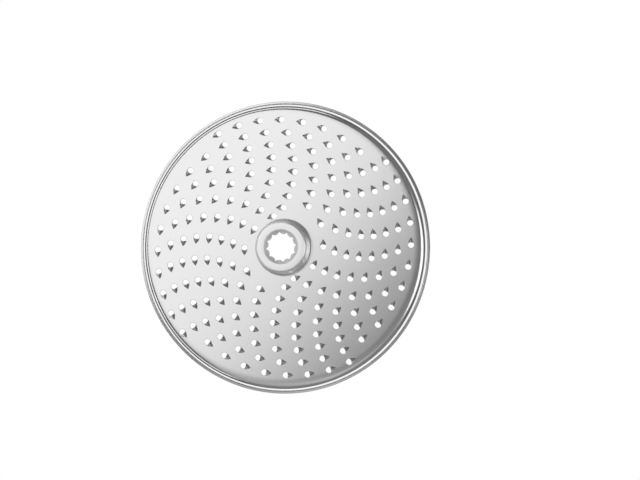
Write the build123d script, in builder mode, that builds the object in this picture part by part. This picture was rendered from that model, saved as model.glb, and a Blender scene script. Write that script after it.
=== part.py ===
from build123d import *
import os
from math import acos, asin, cos, degrees, radians, sin

# The sheet, and how high its grating face lies above the surface that the rim rests on
sheet = 0.6
face_h = 3.6

# The rim: the face's edge is rolled over, down to a flat flange
disc_d = 140.0
flange_w = 1.4
roll_r = 3.3
roll_flats = 3

# The hub: a drawn boss with a flat top, which dips round its star-shaped drive hole
hub_base_d = 26.2
hub_top_d = 25.2
hub_rise = 9.8
hub_ease = 0.6
recess_d = 16.5
recess_floor_d = 12.0
recess_depth = 1.5
star_points = 12
star_tip_d = 14.7
star_lobe_d = 12.4
star_turn = 7.4

# The teeth stand on spiral arms, a fixed step apart along each arm
arms = 4
arm_gap = 6.01
arm_turn = 0.6
arm_start_gap = 5.9
tooth_step = 10.46
early_teeth = 2
hub_clearance = 1.05
rim_clearance = 0.1

# One tooth: a hole with half its edge raised into a hood, which leans back to a lip and runs down to a tail
hole_d = 3.0
hole_sides = 8
lip_to_centre = 1.3
tail_to_centre = 3.9
tooth_h = 1.3

os.makedirs("parts", exist_ok=True)

disc_r = disc_d / 2
flange_r = disc_r - flange_w
roll_turn = acos(1 - (face_h - sheet) / roll_r)
roll_in_r = flange_r - roll_r * sin(roll_turn)
hub_base_r = hub_base_d / 2
hub_h = face_h + hub_rise
recess_h = hub_h - recess_depth
hole_r = hole_d / 2


def arm_radius(turned):
    """Distance from the axis of the point where an arm has turned by this many degrees."""
    on_spiral = hub_base_r + arm_start_gap + arms * arm_gap * turned / 360
    return max(on_spiral, hub_base_r + hole_r + hub_clearance)


def turn_per_step(turned):
    """The angle that one step between teeth takes up at this point of an arm."""
    return degrees(2 * asin(tooth_step / 2 / arm_radius(turned)))


def next_tooth(turned, way=1):
    """The arm's angle one tooth further out, or further in, stepped at the radius half way there."""
    half_way = turned + way * turn_per_step(turned) / 2
    return turned + way * turn_per_step(half_way)


def arm_angles():
    """The angles of all the teeth that one arm has room for, from the hub to the rim."""
    angles = [0.0]
    for _ in range(early_teeth):
        angles.insert(0, next_tooth(angles[0], way=-1))
    while arm_radius(angles[-1]) + hole_r + rim_clearance < roll_in_r:
        angles.append(next_tooth(angles[-1]))
    return angles[:-1]


def tooth_seats():
    """Where each tooth's hole is centred on the face, with +X along the way its hood points."""
    angles = arm_angles()
    seats = []
    for arm in range(arms):
        long_arm = arm % 2 == 0
        for turned in angles[:-1] if long_arm else angles[early_teeth:]:
            angle = arm_turn + turned + arm * 360 / arms
            radius = arm_radius(turned)
            spot = (radius * cos(radians(angle)), radius * sin(radians(angle)), face_h)
            seats.append(Location(spot, (0, 0, angle + 90)))
    return seats


def roll_points():
    """Corners of the rolled edge's section, from the face to the flange."""
    turns = [roll_turn * flat / roll_flats for flat in range(roll_flats + 1)]
    return [(roll_in_r + roll_r * sin(turn), face_h - roll_r * (1 - cos(turn))) for turn in turns]


# The hood before its mouth is trimmed: a tent that runs from an upright triangle down to the tail
ridge_h = tooth_h * tail_to_centre / (tail_to_centre - lip_to_centre)
with BuildPart() as tent:
    with BuildSketch(Plane.YZ) as tent_front:
        Polygon((-hole_r, 0), (hole_r, 0), (0, ridge_h), align=None)
    loft(sections=[tent_front.sketch.face(), Vertex(tail_to_centre, 0, 0)], ruled=True)

# The hood: its mouth leans back from both sides of the hole to the lip
with BuildPart() as hood:
    add(tent.part)
    split(bisect_by=Plane((0, 0, 0), x_dir=(0, 1, 0), z_dir=(tooth_h, 0, -lip_to_centre)), keep=Keep.TOP)

# What the punch takes away: the hole's open half, and the hollow under the hood, one sheet below its outside
with BuildPart() as punch:
    with Locations((0, 0, -sheet)):
        add(tent.part)
    with BuildSketch(Plane.XY.offset(-2 * sheet)):
        RegularPolygon(radius=hole_r, side_count=hole_sides)
        split(bisect_by=Plane.YZ, keep=Keep.BOTTOM)
    extrude(amount=3 * sheet)

with BuildPart() as grating_disc:
    # The pressed blank: its upper side from the axis to the rim, thickened downwards
    with BuildSketch(Plane.XZ) as section:
        with BuildLine():
            Polyline(
                (0, recess_h),
                (recess_floor_d / 2, recess_h),
                (recess_d / 2, hub_h),
                (hub_top_d / 2, hub_h),
                (hub_base_r, face_h),
                *roll_points(),
                (disc_r, sheet),
            )
            offset(amount=sheet, side=Side.RIGHT, kind=Kind.INTERSECTION)
        make_face()
        chamfer(section.vertices().sort_by_distance((hub_top_d / 2, hub_h))[0], hub_ease)
    revolve(axis=Axis.Z)

    # The star-shaped drive hole: pointed outwards, with rounded lobes between the points
    with BuildSketch(Plane.XY.offset(hub_h)):
        with BuildLine():
            for point in range(star_points):
                pitch = 360 / star_points
                start = star_turn + point * pitch
                ThreePointArc(
                    PolarLocations(star_tip_d / 2, 1, start).locations[0].position,
                    PolarLocations(star_lobe_d / 2, 1, start + pitch / 2).locations[0].position,
                    PolarLocations(star_tip_d / 2, 1, start + pitch).locations[0].position,
                )
        make_face()
    extrude(amount=-hub_rise, mode=Mode.SUBTRACT)

    # The teeth
    seats = tooth_seats()
    with Locations(*seats):
        add(hood.part)
    with Locations(*seats):
        add(punch.part, mode=Mode.SUBTRACT)

grating_disc.part.label = "grating_disc"
export_step(grating_disc.part, "parts/grating_disc.step")
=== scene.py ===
"""A pressed steel grating disc on a white studio floor, seen from above and a little from its right."""

from math import asin, atan2, ceil, copysign, cos, degrees, pi, radians, sin, sqrt, tan, tau

import bmesh
import bpy
from mathutils import Matrix, Vector
from mathutils.geometry import delaunay_2d_cdt


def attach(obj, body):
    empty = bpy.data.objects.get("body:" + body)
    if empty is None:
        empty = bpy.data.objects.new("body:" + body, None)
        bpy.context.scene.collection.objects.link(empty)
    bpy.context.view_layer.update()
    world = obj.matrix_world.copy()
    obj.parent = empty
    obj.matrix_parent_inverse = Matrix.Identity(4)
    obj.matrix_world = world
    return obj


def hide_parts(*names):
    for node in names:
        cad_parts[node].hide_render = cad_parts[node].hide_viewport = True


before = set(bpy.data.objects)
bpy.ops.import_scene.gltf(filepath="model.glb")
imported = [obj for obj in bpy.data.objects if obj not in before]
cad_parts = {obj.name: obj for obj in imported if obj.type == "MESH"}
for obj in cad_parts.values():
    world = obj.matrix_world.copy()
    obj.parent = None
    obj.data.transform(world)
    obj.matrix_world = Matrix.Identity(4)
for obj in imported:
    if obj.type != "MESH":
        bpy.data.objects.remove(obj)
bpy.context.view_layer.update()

# The disc's shapes are in millimetres, as in the part's source
MM = 0.001

# The pressed sheet, the least rounding of its bends, and how high its face lies above the floor
SHEET = 0.6
LEAST_ROUND = 0.08
FACE_H = 3.6
DISC_R = 70.0

# The rim: the face starts to bend down, then rolls over, down to a narrow flange with eased edges
BEND_R = 62.6
BEND_RATE = 0.014
FACE_END_R = 65.4
SHOULDER_R = 67.45
ROLL_ROUND = 3.2
FLANGE_R = 68.9
FLANGE_TOP = 0.66
FLANGE_ROUND = 0.3
EDGE_TOP = 0.58
EDGE_TOP_ROUND = 0.2
EDGE_FOOT_ROUND = 0.1

# The hub: a drawn boss with a flat ring on top, which dips round its star-shaped drive hole
HUB_BASE_R = 13.0
HUB_FOOT_ROUND = 1.0
HUB_FOOT_W = 0.95
HUB_TOP_R = 12.3
HUB_TOP_ROUND = 1.2
HUB_H = 13.4
RECESS_R = 8.25
RECESS_ROUND = 0.8
RECESS_SLOPE = radians(34)
STAR_POINTS = 12
STAR_TIP_R = 7.35
STAR_LOBE_R = 6.2
STAR_TURN = radians(7.4)
STAR_MARGIN = 0.1

# The teeth stand on spiral arms, a fixed step apart along each arm
ARMS = 4
ARM_GAP = 6.01
ARM_TURN = 0.6
ARM_START_R = 19.0
INNER_TOOTH_R = 15.65
OUTER_TOOTH_R = 63.75
TOOTH_STEP = 10.46
EARLY_TEETH = 2

# One tooth: a round hole with its rear edge raised into a hood that runs down to a tail.
# A length that ends in U is measured from the hole's centre towards the tail.
HOLE_R = 1.4
HOLE_FLARE = 0.12
FLARE_BLEND = radians(60)
HOOD_HALF_W = 1.5
HOOD_H = 1.3
HOOD_SIDE_U = 0.45
LIP_U = 1.25
TAIL_U = 3.6
RIDGE_ROUND = 0.13
WIDTH_TAPER = 1.7
HOLLOW_SIDE_U = 0.4
HOLLOW_HALF_W = 1.34
HOLLOW_LIP_U = 1.05
HOLLOW_TAIL_U = 3.3
LIP_THICKNESS = 0.45

# Rings of the hole's wall, each (share of the way down, share of the way out to the upper edge)
WALL_RINGS = ((0.15, 0.4), (0.4, 0.08))

# How finely the curved surfaces are divided
RIM_SEGMENTS = 320
STAR_ARC_SEGMENTS = 12
ARC_STEP = radians(6)
HOOD_STEPS = 7
RIDGE_CROWDING = 1.5
TAIL_STEPS = 5
FRONT_STEPS = 14
BEND_RINGS = 5
BEND_POINT_GAP = 1.4
SHARP_ANGLE = radians(60)

# Room round a tooth: a narrow flat ring at its foot, and the margins that points on the face's bend keep.
# A tooth further than TOOTH_REACH inside the bend is out of their way.
FOOT_RING_W = 0.1
SIDE_MARGIN = 0.3
FRONT_MARGIN = 0.45
TAIL_MARGIN = 0.4
TOOTH_REACH = 3

# Points of the face that lie closer together than this count as one
SAME_SPOT = 1e-5

# The steel's look, as stops (distance from the axis, value): the drawn hub is more matt than the face. The
# hub and the rim's steep wall are painted paler, painted light that brightens their reflections. The grain's
# scale is per metre along X, Y and Z.
PALENESS_WITH_PAINTED_LIGHT = ((13.5, 0.95), (13.95, 0.75), (67.1, 0.75), (67.5, 0.95), (68.7, 0.95), (69.0, 0.75))
ROUGHNESS = (
    (8.0, 0.6), (8.4, 0.32), (11.2, 0.32), (11.5, 0.3),
    (12.0, 0.3), (12.5, 0.42), (13.7, 0.35), (13.95, 0.17),
)
GRAIN_SCALE = (90, 2600, 400)
GRAIN_DETAIL = 3.0
GRAIN_SPREAD = 0.015

# The floor, in metres
FLOOR_HALF_W = 2.0
FLOOR_TONE = 0.85
FLOOR_GLOW = 1.05
FLOOR_GLOW_SHARE = 0.93

# The camera, in metres, with the picture's axes in the disc's frame, and its lens in millimetres
CAMERA_PLACE = Vector((0.2072, -0.0330, 1.4506))
CAMERA_RIGHT = Vector((0.9915, 0.0, -0.1300))
CAMERA_UP = Vector((0.00324, 0.99969, 0.02474))
CAMERA_CLIP_END = 20
SENSOR_W = 36.0
LENS = 172.1

# The light, in metres and degrees. A level is the radiance of a lamp's face, where 1 would show as white.
WORLD_LEVEL = 0.12
OVERHEAD_AZIMUTH = 139
OVERHEAD_NEAR_EDGE = Vector((-0.100, 0.036, 0.5))
OVERHEAD_SIZE = (0.21, 0.34)
OVERHEAD_LEVEL = 1.05

# Strips that step down to dark beside the overhead lamp's near edge, each (level, length)
FADE = ((1.0, 0.36), (0.95, 0.33), (0.84, 0.3), (0.55, 0.27), (0.28, 0.24), (0.16, 0.21))
FADE_W = 0.025

# Panels that are aimed at the disc, all from the same distance
PANEL_DISTANCE = 0.6

# Low panels on the left, each (azimuth, level)
SIDE_PANELS = ((100, 1.1), (140, 1.35), (180, 1.35), (220, 1.0))
SIDE_FROM_ZENITH = 55
SIDE_SIZE = (0.37, 0.15)

# Faint panels on the darker sides, each (azimuth, angle from the zenith, size, level)
FILLS = (
    (-100, 30, (0.36, 0.32), 0.32),
    (-58, 26, (0.36, 0.4), 0.17),
    (-75, 60, (0.8, 0.3), 0.13),
    (45, 45, (0.4, 0.5), 0.08),
)

# The oval panel that makes the white patch on the right of the rim
RIGHT_AZIMUTH = -5
RIGHT_FROM_ZENITH = 36
RIGHT_SIZE = (0.34, 0.42)
RIGHT_LEVEL = 1.4


class Shell:
    """A surface while it is put together: points in millimetres, and faces as tuples of point numbers."""

    def __init__(self):
        self.points = []
        self.faces = []

    def add(self, points):
        """Adds points and returns their numbers."""
        first = len(self.points)
        self.points.extend(Vector(point) for point in points)
        return list(range(first, len(self.points)))

    def bridge(self, ring, other):
        """Quads between two closed rings of the same length."""
        for i in range(len(ring)):
            j = (i + 1) % len(ring)
            self.faces.append((ring[i], ring[j], other[j], other[i]))

    def skin(self, rings):
        """Quads from each closed ring to the next."""
        for ring, other in zip(rings, rings[1:]):
            self.bridge(ring, other)

    def strip(self, row, other):
        """Quads between two open rows of the same length."""
        for i in range(len(row) - 1):
            self.faces.append((row[i], row[i + 1], other[i + 1], other[i]))

    def fan(self, row, tip):
        """Triangles from an open row to one point."""
        for i in range(len(row) - 1):
            self.faces.append((row[i], row[i + 1], tip))


def polar(radius, angle):
    return radius * cos(angle), radius * sin(angle)


def ring_points(radius, height, angles):
    return [(*polar(radius, angle), height) for angle in angles]


def cross(way, other):
    """The sine of the turn from one unit vector to another: positive to the left."""
    return way.x * other.y - way.y * other.x


def rounded(corners):
    """The section line through corners (radius, height, rounding), with every inner corner rounded."""
    line = [Vector(corners[0][:2])]
    for before, corner, after in zip(corners, corners[1:], corners[2:]):
        tip, rounding = Vector(corner[:2]), corner[2]
        way_in = (tip - Vector(before[:2])).normalized()
        way_out = (Vector(after[:2]) - tip).normalized()
        turn = atan2(cross(way_in, way_out), way_in.dot(way_out))
        start = tip - way_in * rounding * tan(abs(turn) / 2)
        centre = start + Vector((-way_in.y, way_in.x)) * copysign(rounding, turn)
        steps = max(2, ceil(abs(turn) / ARC_STEP))
        for step in range(steps + 1):
            line.append(centre + Matrix.Rotation(turn * step / steps, 2) @ (start - centre))
    line.append(Vector(corners[-1][:2]))
    return line


def underside(corners):
    """The same corners one sheet thickness below, with the roundings that keep the sheet's thickness."""
    spots = [Vector(corner[:2]) for corner in corners]
    ways = [(after - before).normalized() for before, after in zip(spots, spots[1:])]
    below = []
    for corner, spot, way_in, way_out in zip(corners, spots, ways[:1] + ways, ways + ways[-1:]):
        half_way = (way_in + way_out).normalized()
        drop = SHEET / half_way.dot(way_out)
        lower = spot + Vector((half_way.y, -half_way.x)) * drop
        rounding = corner[2] + copysign(SHEET, cross(way_in, way_out)) if len(corner) > 2 else 0.0
        below.append((lower.x, lower.y, max(rounding, LEAST_ROUND)))
    return below


def recess_height(radius):
    """Height of the cone that leads from the hub's flat ring down to the drive hole."""
    return HUB_H - (RECESS_R - radius) * tan(RECESS_SLOPE)


def star_outline():
    """The drive hole's outline: arcs that bulge inwards between outward points, as a list of (x, y)."""
    half_pitch = pi / STAR_POINTS
    half_chord = STAR_TIP_R * sin(half_pitch)
    rise = STAR_TIP_R * cos(half_pitch) - STAR_LOBE_R
    arc_r = (half_chord ** 2 + rise ** 2) / (2 * rise)
    half_sweep = asin(half_chord / arc_r)
    outline = []
    for lobe in range(STAR_POINTS):
        middle = STAR_TURN + (2 * lobe + 1) * half_pitch
        for step in range(STAR_ARC_SEGMENTS):
            sweep = half_sweep * (2 * step / STAR_ARC_SEGMENTS - 1)
            spot = Vector((STAR_LOBE_R + arc_r - arc_r * cos(sweep), arc_r * sin(sweep)))
            outline.append(Matrix.Rotation(middle, 2) @ spot)
    return outline


def hub_section():
    """Corners of the hub's upper side, from just outside the drive hole to the face."""
    start_r = STAR_TIP_R + STAR_MARGIN
    return [
        (start_r, recess_height(start_r)),
        (RECESS_R, HUB_H, RECESS_ROUND),
        (HUB_TOP_R, HUB_H, HUB_TOP_ROUND),
        (HUB_BASE_R, FACE_H, HUB_FOOT_ROUND),
        (HUB_BASE_R + HUB_FOOT_W, FACE_H),
    ]


def add_hub(shell):
    """The drive hole's wall and the hub. Returns where the hub ends on the face, above and below."""
    outline = star_outline()
    angles = [atan2(spot.y, spot.x) for spot in outline]
    star = []
    for drop in (0, SHEET / cos(RECESS_SLOPE)):
        star.append(shell.add((spot.x, spot.y, recess_height(spot.length) - drop) for spot in outline))
    shell.bridge(*star)

    section = hub_section()
    ends = []
    for start, line in zip(star, (rounded(section), rounded(underside(section)))):
        rings = [start] + [shell.add(ring_points(spot.x, spot.y, angles)) for spot in line]
        shell.skin(rings)
        ends.append(rings[-1])
    return ends


def bend(radius):
    """How far the face has dropped at this radius: it starts to curve down a little before the roll."""
    return BEND_RATE * max(radius - BEND_R, 0) ** 2


def bent(point):
    """A point of the flat face or its teeth, lowered with the face's bend."""
    return Vector((point.x, point.y, point.z - bend(point.xy.length)))


def rim_section():
    """The rim's section line: over the roll and the flange's edge, and back along the underside."""
    end_h = FACE_H - bend(FACE_END_R)
    end_slope = 2 * BEND_RATE * (FACE_END_R - BEND_R)
    shoulder_h = end_h - end_slope * (SHOULDER_R - FACE_END_R)
    roll = [(FACE_END_R, end_h), (SHOULDER_R, shoulder_h, ROLL_ROUND)]
    top = roll + [(FLANGE_R, FLANGE_TOP, FLANGE_ROUND)]
    edge = [(DISC_R, EDGE_TOP, EDGE_TOP_ROUND), (DISC_R, 0.0, EDGE_FOOT_ROUND)]
    below = underside(roll + [(FLANGE_R, SHEET, FLANGE_ROUND), (DISC_R, SHEET)])
    return rounded(top + edge + below[-2::-1])


def add_rim(shell):
    """The rolled edge with its flange. Returns where it starts on the face, above and below."""
    angles = [tau * step / RIM_SEGMENTS for step in range(RIM_SEGMENTS)]
    rings = [shell.add(ring_points(spot.x, spot.y, angles)) for spot in rim_section()]
    shell.skin(rings)
    return rings[0], rings[-1]


def arm_radius(turned):
    """Distance from the axis of the point where an arm has turned by this many degrees."""
    return max(ARM_START_R + ARMS * ARM_GAP * turned / 360, INNER_TOOTH_R)


def turn_per_step(turned):
    """The angle that one step between teeth takes up at this point of an arm."""
    return degrees(2 * asin(TOOTH_STEP / 2 / arm_radius(turned)))


def next_tooth(turned, way=1):
    """The arm's angle one tooth further out, or further in, stepped at the radius half way there."""
    return turned + way * turn_per_step(turned + way * turn_per_step(turned) / 2)


def tooth_seats():
    """Radius and angle of every tooth's hole: every second arm starts further in and ends a tooth earlier."""
    angles = [0.0]
    for _ in range(EARLY_TEETH):
        angles.insert(0, next_tooth(angles[0], way=-1))
    while arm_radius(next_tooth(angles[-1])) < OUTER_TOOTH_R:
        angles.append(next_tooth(angles[-1]))
    seats = []
    for arm in range(ARMS):
        for turned in angles[:-1] if arm % 2 == 0 else angles[EARLY_TEETH:]:
            seats.append((arm_radius(turned), radians(ARM_TURN + turned + arm * 360 / ARMS)))
    return seats


def ridge(across):
    """Height of the hood over its foot: straight sides, from 0 at the foot to 1 at the rounded ridge."""
    fall = sqrt(across ** 2 + RIDGE_ROUND ** 2) - RIDGE_ROUND
    return 1 - fall / (sqrt(1 + RIDGE_ROUND ** 2) - RIDGE_ROUND)


def arch(side_u, half_w, lip_u, foot_z, height):
    """The hood's edge over the hole, as points from one side to the other, closer together at the ridge."""
    points = []
    for step in range(-HOOD_STEPS, HOOD_STEPS + 1):
        across = copysign((abs(step) / HOOD_STEPS) ** RIDGE_CROWDING, step)
        along = side_u + (lip_u - side_u) * sqrt(1 - across ** 2)
        points.append(Vector((along, half_w * across, foot_z + height * ridge(across))))
    return points


def front_arc(corner, radius, height):
    """The hole's edge away from the hood: it leaves one end of the arch and soon runs at its own radius."""
    start = atan2(corner.y, corner.x)
    points = []
    for step in range(1, FRONT_STEPS):
        angle = start + (tau - 2 * start) * step / FRONT_STEPS
        from_end = min(angle - start, tau - start - angle)
        blend = (1 + cos(min(from_end / FLARE_BLEND, 1) * pi)) / 2
        reach = radius + (corner.xy.length - radius) * blend
        points.append(Vector((*polar(reach, angle), height)))
    return points


def widened(loop):
    """A ring in the same plane, just outside a loop that runs anticlockwise."""
    ring = []
    for i, point in enumerate(loop):
        chord = (loop[(i + 1) % len(loop)] - loop[i - 1]).normalized()
        ring.append(point + Vector((chord.y, -chord.x, 0)) * FOOT_RING_W)
    return ring


def hood_surface(shell, edge, tail):
    """The hood from its edge down to its tail. Returns the edge and the foot as point numbers."""
    rows = []
    for step in range(TAIL_STEPS):
        run = step / TAIL_STEPS
        row = []
        for point in edge:
            along = point.x + (tail.x - point.x) * run
            across = point.y * (1 - run ** WIDTH_TAPER)
            height = tail.z + (point.z - tail.z) * (1 - run)
            row.append((along, across, height))
        rows.append(shell.add(row))
    tip = shell.add([tail])[0]
    for row, other in zip(rows, rows[1:]):
        shell.strip(row, other)
    shell.fan(rows[-1], tip)
    foot = [row[0] for row in rows] + [tip] + [row[-1] for row in reversed(rows)]
    return rows[0], foot


def wall_rings(shell, upper, lower):
    """Rings of the hole's wall, from its upper edge, which is rolled over a little, to its lower one."""
    rings = [upper]
    for down, out in WALL_RINGS:
        ring = []
        for top, bottom in zip(upper, lower):
            top, bottom = shell.points[top], shell.points[bottom]
            flat = bottom.lerp(top, out)
            ring.append((flat.x, flat.y, top.z + (bottom.z - top.z) * down))
        rings.append(shell.add(ring))
    return rings + [lower]


def tooth():
    """One tooth round its hole's centre, hood along +X: its shell, and the loops that meet the sheet."""
    shell = Shell()
    lip = arch(HOOD_SIDE_U, HOOD_HALF_W, LIP_U, 0, HOOD_H)
    hollow_h = HOOD_H - LIP_THICKNESS + SHEET
    hollow_lip = arch(HOLLOW_SIDE_U, HOLLOW_HALF_W, HOLLOW_LIP_U, -SHEET, hollow_h)
    edge, foot = hood_surface(shell, lip, Vector((TAIL_U, 0, 0)))
    hollow_edge, hollow_foot = hood_surface(shell, hollow_lip, Vector((HOLLOW_TAIL_U, 0, -SHEET)))
    front = shell.add(front_arc(lip[-1], HOLE_R + HOLE_FLARE, 0))
    hollow_front = shell.add(front_arc(hollow_lip[-1], HOLE_R, -SHEET))
    shell.skin(wall_rings(shell, edge + front, hollow_edge + hollow_front))

    loops = []
    for loop in (foot + front, hollow_foot + hollow_front):
        outer = shell.add(widened([shell.points[i] for i in loop]))
        shell.bridge(loop, outer)
        loops.append(outer)
    return shell, loops


def add_teeth(shell, seats):
    """A copy of the tooth at every seat. Returns the loops that it leaves in the face, above and below."""
    pattern, loops = tooth()
    top_holes, under_holes = [], []
    for radius, angle in seats:
        place = Matrix.Translation((*polar(radius, angle), FACE_H))
        place @= Matrix.Rotation(angle + pi / 2, 4, "Z")
        first = len(shell.points)
        shell.add(bent(place @ point) for point in pattern.points)
        shell.faces.extend(tuple(first + i for i in face) for face in pattern.faces)
        top_holes.append([first + i for i in loops[0]])
        under_holes.append([first + i for i in loops[1]])
    return top_holes, under_holes


def is_clear(point, seat):
    """Whether a point of the face lies off the tooth at this seat."""
    radius, angle = seat
    away = Vector(point) - Vector(polar(radius, angle))
    along = -away.x * sin(angle) + away.y * cos(angle)
    outward = away.x * cos(angle) + away.y * sin(angle)
    beside = abs(outward) > HOOD_HALF_W + SIDE_MARGIN
    return beside or along < -HOLE_R - FRONT_MARGIN or along > TAIL_U + TAIL_MARGIN


def bend_points(seats):
    """Points on the bent part of the face, clear of the teeth, so that its triangles follow the curve."""
    near_rim = [seat for seat in seats if seat[0] > BEND_R - TOOTH_REACH]
    points = []
    for ring in range(BEND_RINGS):
        radius = BEND_R + (FACE_END_R - BEND_R) * ring / BEND_RINGS
        count = round(tau * radius / BEND_POINT_GAP)
        for step in range(count):
            point = polar(radius, tau * (step + 0.5 * (ring % 2)) / count)
            if all(is_clear(point, seat) for seat in near_rim):
                points.append(point)
    return points


def fill_face(shell, inner, outer, holes, extra):
    """Triangles over the ring between two loops, round all the holes and through the extra points."""
    loops = [outer, inner] + holes
    numbers = [i for loop in loops for i in loop] + extra
    owner = [n for n, loop in enumerate(loops) for _ in loop] + [-1] * len(extra)
    edges = []
    for loop in loops:
        first = len(edges)
        edges.extend((first + i, first + (i + 1) % len(loop)) for i in range(len(loop)))
    flat = [shell.points[i].xy for i in numbers]
    _, _, triangles, sources, _, _ = delaunay_2d_cdt(flat, edges, [], 0, SAME_SPOT)
    for triangle in triangles:
        corners = [sources[i][0] for i in triangle]
        owners = {owner[i] for i in corners}
        in_hole = len(owners) == 1 and owners.pop() > 0
        if not in_hole:
            shell.faces.append(tuple(numbers[i] for i in corners))


def build_disc():
    """The whole disc as one closed shell: hub, rim and teeth, then the face between them, above and below."""
    shell = Shell()
    hub_ends = add_hub(shell)
    rim_starts = add_rim(shell)
    seats = tooth_seats()
    holes = add_teeth(shell, seats)
    spots = bend_points(seats)
    for height, inner, outer, loops in zip((FACE_H, FACE_H - SHEET), hub_ends, rim_starts, holes):
        extra = shell.add(bent(Vector((x, y, height))) for x, y in spots)
        fill_face(shell, inner, outer, loops, extra)
    return shell


def add_object(name, data):
    """A new object in the scene that shows this data."""
    item = bpy.data.objects.new(name, data)
    bpy.context.scene.collection.objects.link(item)
    return item


def add_piece(name, shell, material):
    """A shell as a smooth mesh in metres."""
    mesh = bpy.data.meshes.new(name)
    mesh.from_pydata([point * MM for point in shell.points], [], shell.faces)
    work = bmesh.new()
    work.from_mesh(mesh)
    bmesh.ops.recalc_face_normals(work, faces=work.faces)
    work.to_mesh(mesh)
    work.free()
    mesh.shade_smooth()
    mesh.set_sharp_from_angle(angle=SHARP_ANGLE)
    mesh.materials.append(material)
    return add_object(name, mesh)


def by_radius(nodes, links, radius, stops):
    """A value that runs through these stops, each (distance from the axis in millimetres, value)."""
    first, last = stops[0][0], stops[-1][0]
    share = nodes.new("ShaderNodeMapRange")
    share.inputs["From Min"].default_value = first * MM
    share.inputs["From Max"].default_value = last * MM
    links.new(radius, share.inputs["Value"])
    ramp = nodes.new("ShaderNodeValToRGB")
    elements = ramp.color_ramp.elements
    for _ in stops[2:]:
        elements.new(0.5)
    for element, (distance, value) in zip(elements, stops):
        element.position = (distance - first) / (last - first)
        element.color = (value, value, value, 1)
    links.new(share.outputs["Result"], ramp.inputs["Fac"])
    return ramp.outputs["Color"]


def grain_flecks(nodes, links, place):
    """A small value either side of 0 that varies in fine streaks along X."""
    scale = nodes.new("ShaderNodeMapping")
    scale.inputs["Scale"].default_value = GRAIN_SCALE
    links.new(place, scale.inputs["Vector"])
    grain = nodes.new("ShaderNodeTexNoise")
    grain.inputs["Scale"].default_value = 1.0
    grain.inputs["Detail"].default_value = GRAIN_DETAIL
    links.new(scale.outputs["Vector"], grain.inputs["Vector"])
    flecks = nodes.new("ShaderNodeMapRange")
    flecks.inputs["To Min"].default_value = -GRAIN_SPREAD
    flecks.inputs["To Max"].default_value = GRAIN_SPREAD
    links.new(grain.outputs["Fac"], flecks.inputs["Value"])
    return flecks.outputs["Result"]


def axis_distance(nodes, links, place):
    """Distance from the disc's axis, in metres."""
    level = nodes.new("ShaderNodeVectorMath")
    level.operation = "MULTIPLY"
    level.inputs[1].default_value = (1, 1, 0)
    links.new(place, level.inputs[0])
    radius = nodes.new("ShaderNodeVectorMath")
    radius.operation = "LENGTH"
    links.new(level.outputs["Vector"], radius.inputs[0])
    return radius.outputs["Value"]


def steel_material():
    """Satin sheet with a fine grain along X. Its roughness changes with the radius, and so does its paleness:
    painted light, paler on the hub and on the rim's steep wall.
    """
    material = bpy.data.materials.new("satin_steel")
    material.use_nodes = True
    nodes, links = material.node_tree.nodes, material.node_tree.links
    shader = nodes["Principled BSDF"]
    shader.inputs["Metallic"].default_value = 1.0

    place = nodes.new("ShaderNodeTexCoord").outputs["Object"]
    flecks = grain_flecks(nodes, links, place)
    radius = axis_distance(nodes, links, place)
    # The base colour's stops paint the hub and the rim's steep wall paler: painted light that brightens their
    # reflections.
    for stops, socket in ((PALENESS_WITH_PAINTED_LIGHT, "Base Color"), (ROUGHNESS, "Roughness")):
        total = nodes.new("ShaderNodeMath")
        links.new(by_radius(nodes, links, radius, stops), total.inputs[0])
        links.new(flecks, total.inputs[1])
        links.new(total.outputs["Value"], shader.inputs[socket])
    return material


def floor_material():
    """White paint that mostly glows where it is seen by the camera, or by the camera in the steel."""
    material = bpy.data.materials.new("white_floor")
    material.use_nodes = True
    nodes, links = material.node_tree.nodes, material.node_tree.links
    nodes.clear()
    paint = nodes.new("ShaderNodeBsdfDiffuse")
    paint.inputs["Color"].default_value = (FLOOR_TONE, FLOOR_TONE, FLOOR_TONE, 1)
    glow = nodes.new("ShaderNodeEmission")
    glow.inputs["Strength"].default_value = FLOOR_GLOW

    path = nodes.new("ShaderNodeLightPath")
    seen = nodes.new("ShaderNodeMath")
    seen.operation = "MAXIMUM"
    links.new(path.outputs["Is Camera Ray"], seen.inputs[0])
    links.new(path.outputs["Is Glossy Ray"], seen.inputs[1])
    share = nodes.new("ShaderNodeMath")
    share.operation = "MULTIPLY"
    share.inputs[1].default_value = FLOOR_GLOW_SHARE
    links.new(seen.outputs["Value"], share.inputs[0])

    mix = nodes.new("ShaderNodeMixShader")
    links.new(share.outputs["Value"], mix.inputs["Fac"])
    links.new(paint.outputs["BSDF"], mix.inputs[1])
    links.new(glow.outputs["Emission"], mix.inputs[2])
    output = nodes.new("ShaderNodeOutputMaterial")
    links.new(mix.outputs["Shader"], output.inputs["Surface"])
    return material


def add_floor():
    half = FLOOR_HALF_W
    corners = [(-half, -half, 0), (half, -half, 0), (half, half, 0), (-half, half, 0)]
    mesh = bpy.data.meshes.new("floor")
    mesh.from_pydata(corners, [], [(0, 1, 2, 3)])
    mesh.materials.append(floor_material())
    floor = add_object("floor", mesh)


def add_camera():
    """A long lens that looks down from the disc's right."""
    data = bpy.data.cameras.new("camera")
    data.sensor_fit = "HORIZONTAL"
    data.sensor_width = SENSOR_W
    data.lens = LENS
    data.clip_end = CAMERA_CLIP_END
    camera = add_object("camera", data)
    axes = Matrix((CAMERA_RIGHT, CAMERA_UP, CAMERA_RIGHT.cross(CAMERA_UP))).transposed()
    camera.matrix_world = Matrix.Translation(CAMERA_PLACE) @ axes.to_4x4()
    bpy.context.scene.camera = camera


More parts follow.
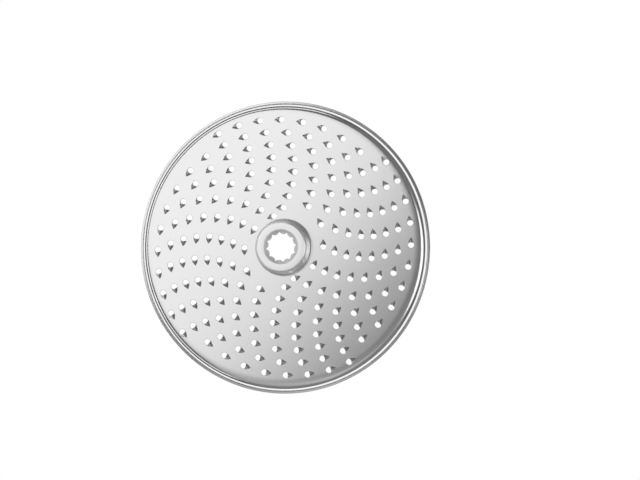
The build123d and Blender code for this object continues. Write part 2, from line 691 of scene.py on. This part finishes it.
def add_softbox(name, place, size, level, turn=None, shape="RECTANGLE"):
    """A lamp whose face shines at the given level: turned about the vertical, or aimed at the disc."""
    data = bpy.data.lights.new(name, "AREA")
    data.shape = shape
    data.size, data.size_y = size
    area = size[0] * size[1] * (pi / 4 if shape == "ELLIPSE" else 1)
    data.energy = level * pi * area
    lamp = add_object(name, data)
    lamp.location = place
    if turn is None:
        lamp.rotation_euler = (-Vector(place)).to_track_quat("-Z", "Y").to_euler()
    else:
        lamp.rotation_euler = (0, 0, turn)
    lamp.visible_camera = False


def toward(azimuth, from_zenith):
    """The place of a panel that stands in this direction from the disc."""
    azimuth, from_zenith = radians(azimuth), radians(from_zenith)
    level = PANEL_DISTANCE * sin(from_zenith)
    return Vector((level * cos(azimuth), level * sin(azimuth), PANEL_DISTANCE * cos(from_zenith)))


def light_scene():
    """A dim room with an overhead lamp that fades out across the disc, and panels round about."""
    world = bpy.data.worlds.new("studio")
    world.use_nodes = True
    background = world.node_tree.nodes["Background"]
    background.inputs["Color"].default_value = (1, 1, 1, 1)
    background.inputs["Strength"].default_value = WORLD_LEVEL
    bpy.context.scene.world = world

    away = radians(OVERHEAD_AZIMUTH)
    along = Vector((cos(away), sin(away), 0))
    middle = OVERHEAD_NEAR_EDGE + along * OVERHEAD_SIZE[0] / 2
    add_softbox("overhead", middle, OVERHEAD_SIZE, OVERHEAD_LEVEL, away)
    for step, (level, length) in enumerate(FADE):
        middle = OVERHEAD_NEAR_EDGE - along * FADE_W * (step + 0.5)
        add_softbox(f"fade_{step}", middle, (FADE_W, length), level, away)

    for number, (azimuth, level) in enumerate(SIDE_PANELS):
        add_softbox(f"side_{number}", toward(azimuth, SIDE_FROM_ZENITH), SIDE_SIZE, level)
    for number, (azimuth, from_zenith, size, level) in enumerate(FILLS):
        add_softbox(f"fill_{number}", toward(azimuth, from_zenith), size, level)
    right = toward(RIGHT_AZIMUTH, RIGHT_FROM_ZENITH)
    add_softbox("right_panel", right, RIGHT_SIZE, RIGHT_LEVEL, shape="ELLIPSE")


disc = add_piece("disc_steel", build_disc(), steel_material())
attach(disc, "root")
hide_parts("grating_disc")

add_floor()
add_camera()
light_scene()
bpy.context.scene.view_settings.view_transform = "Standard"
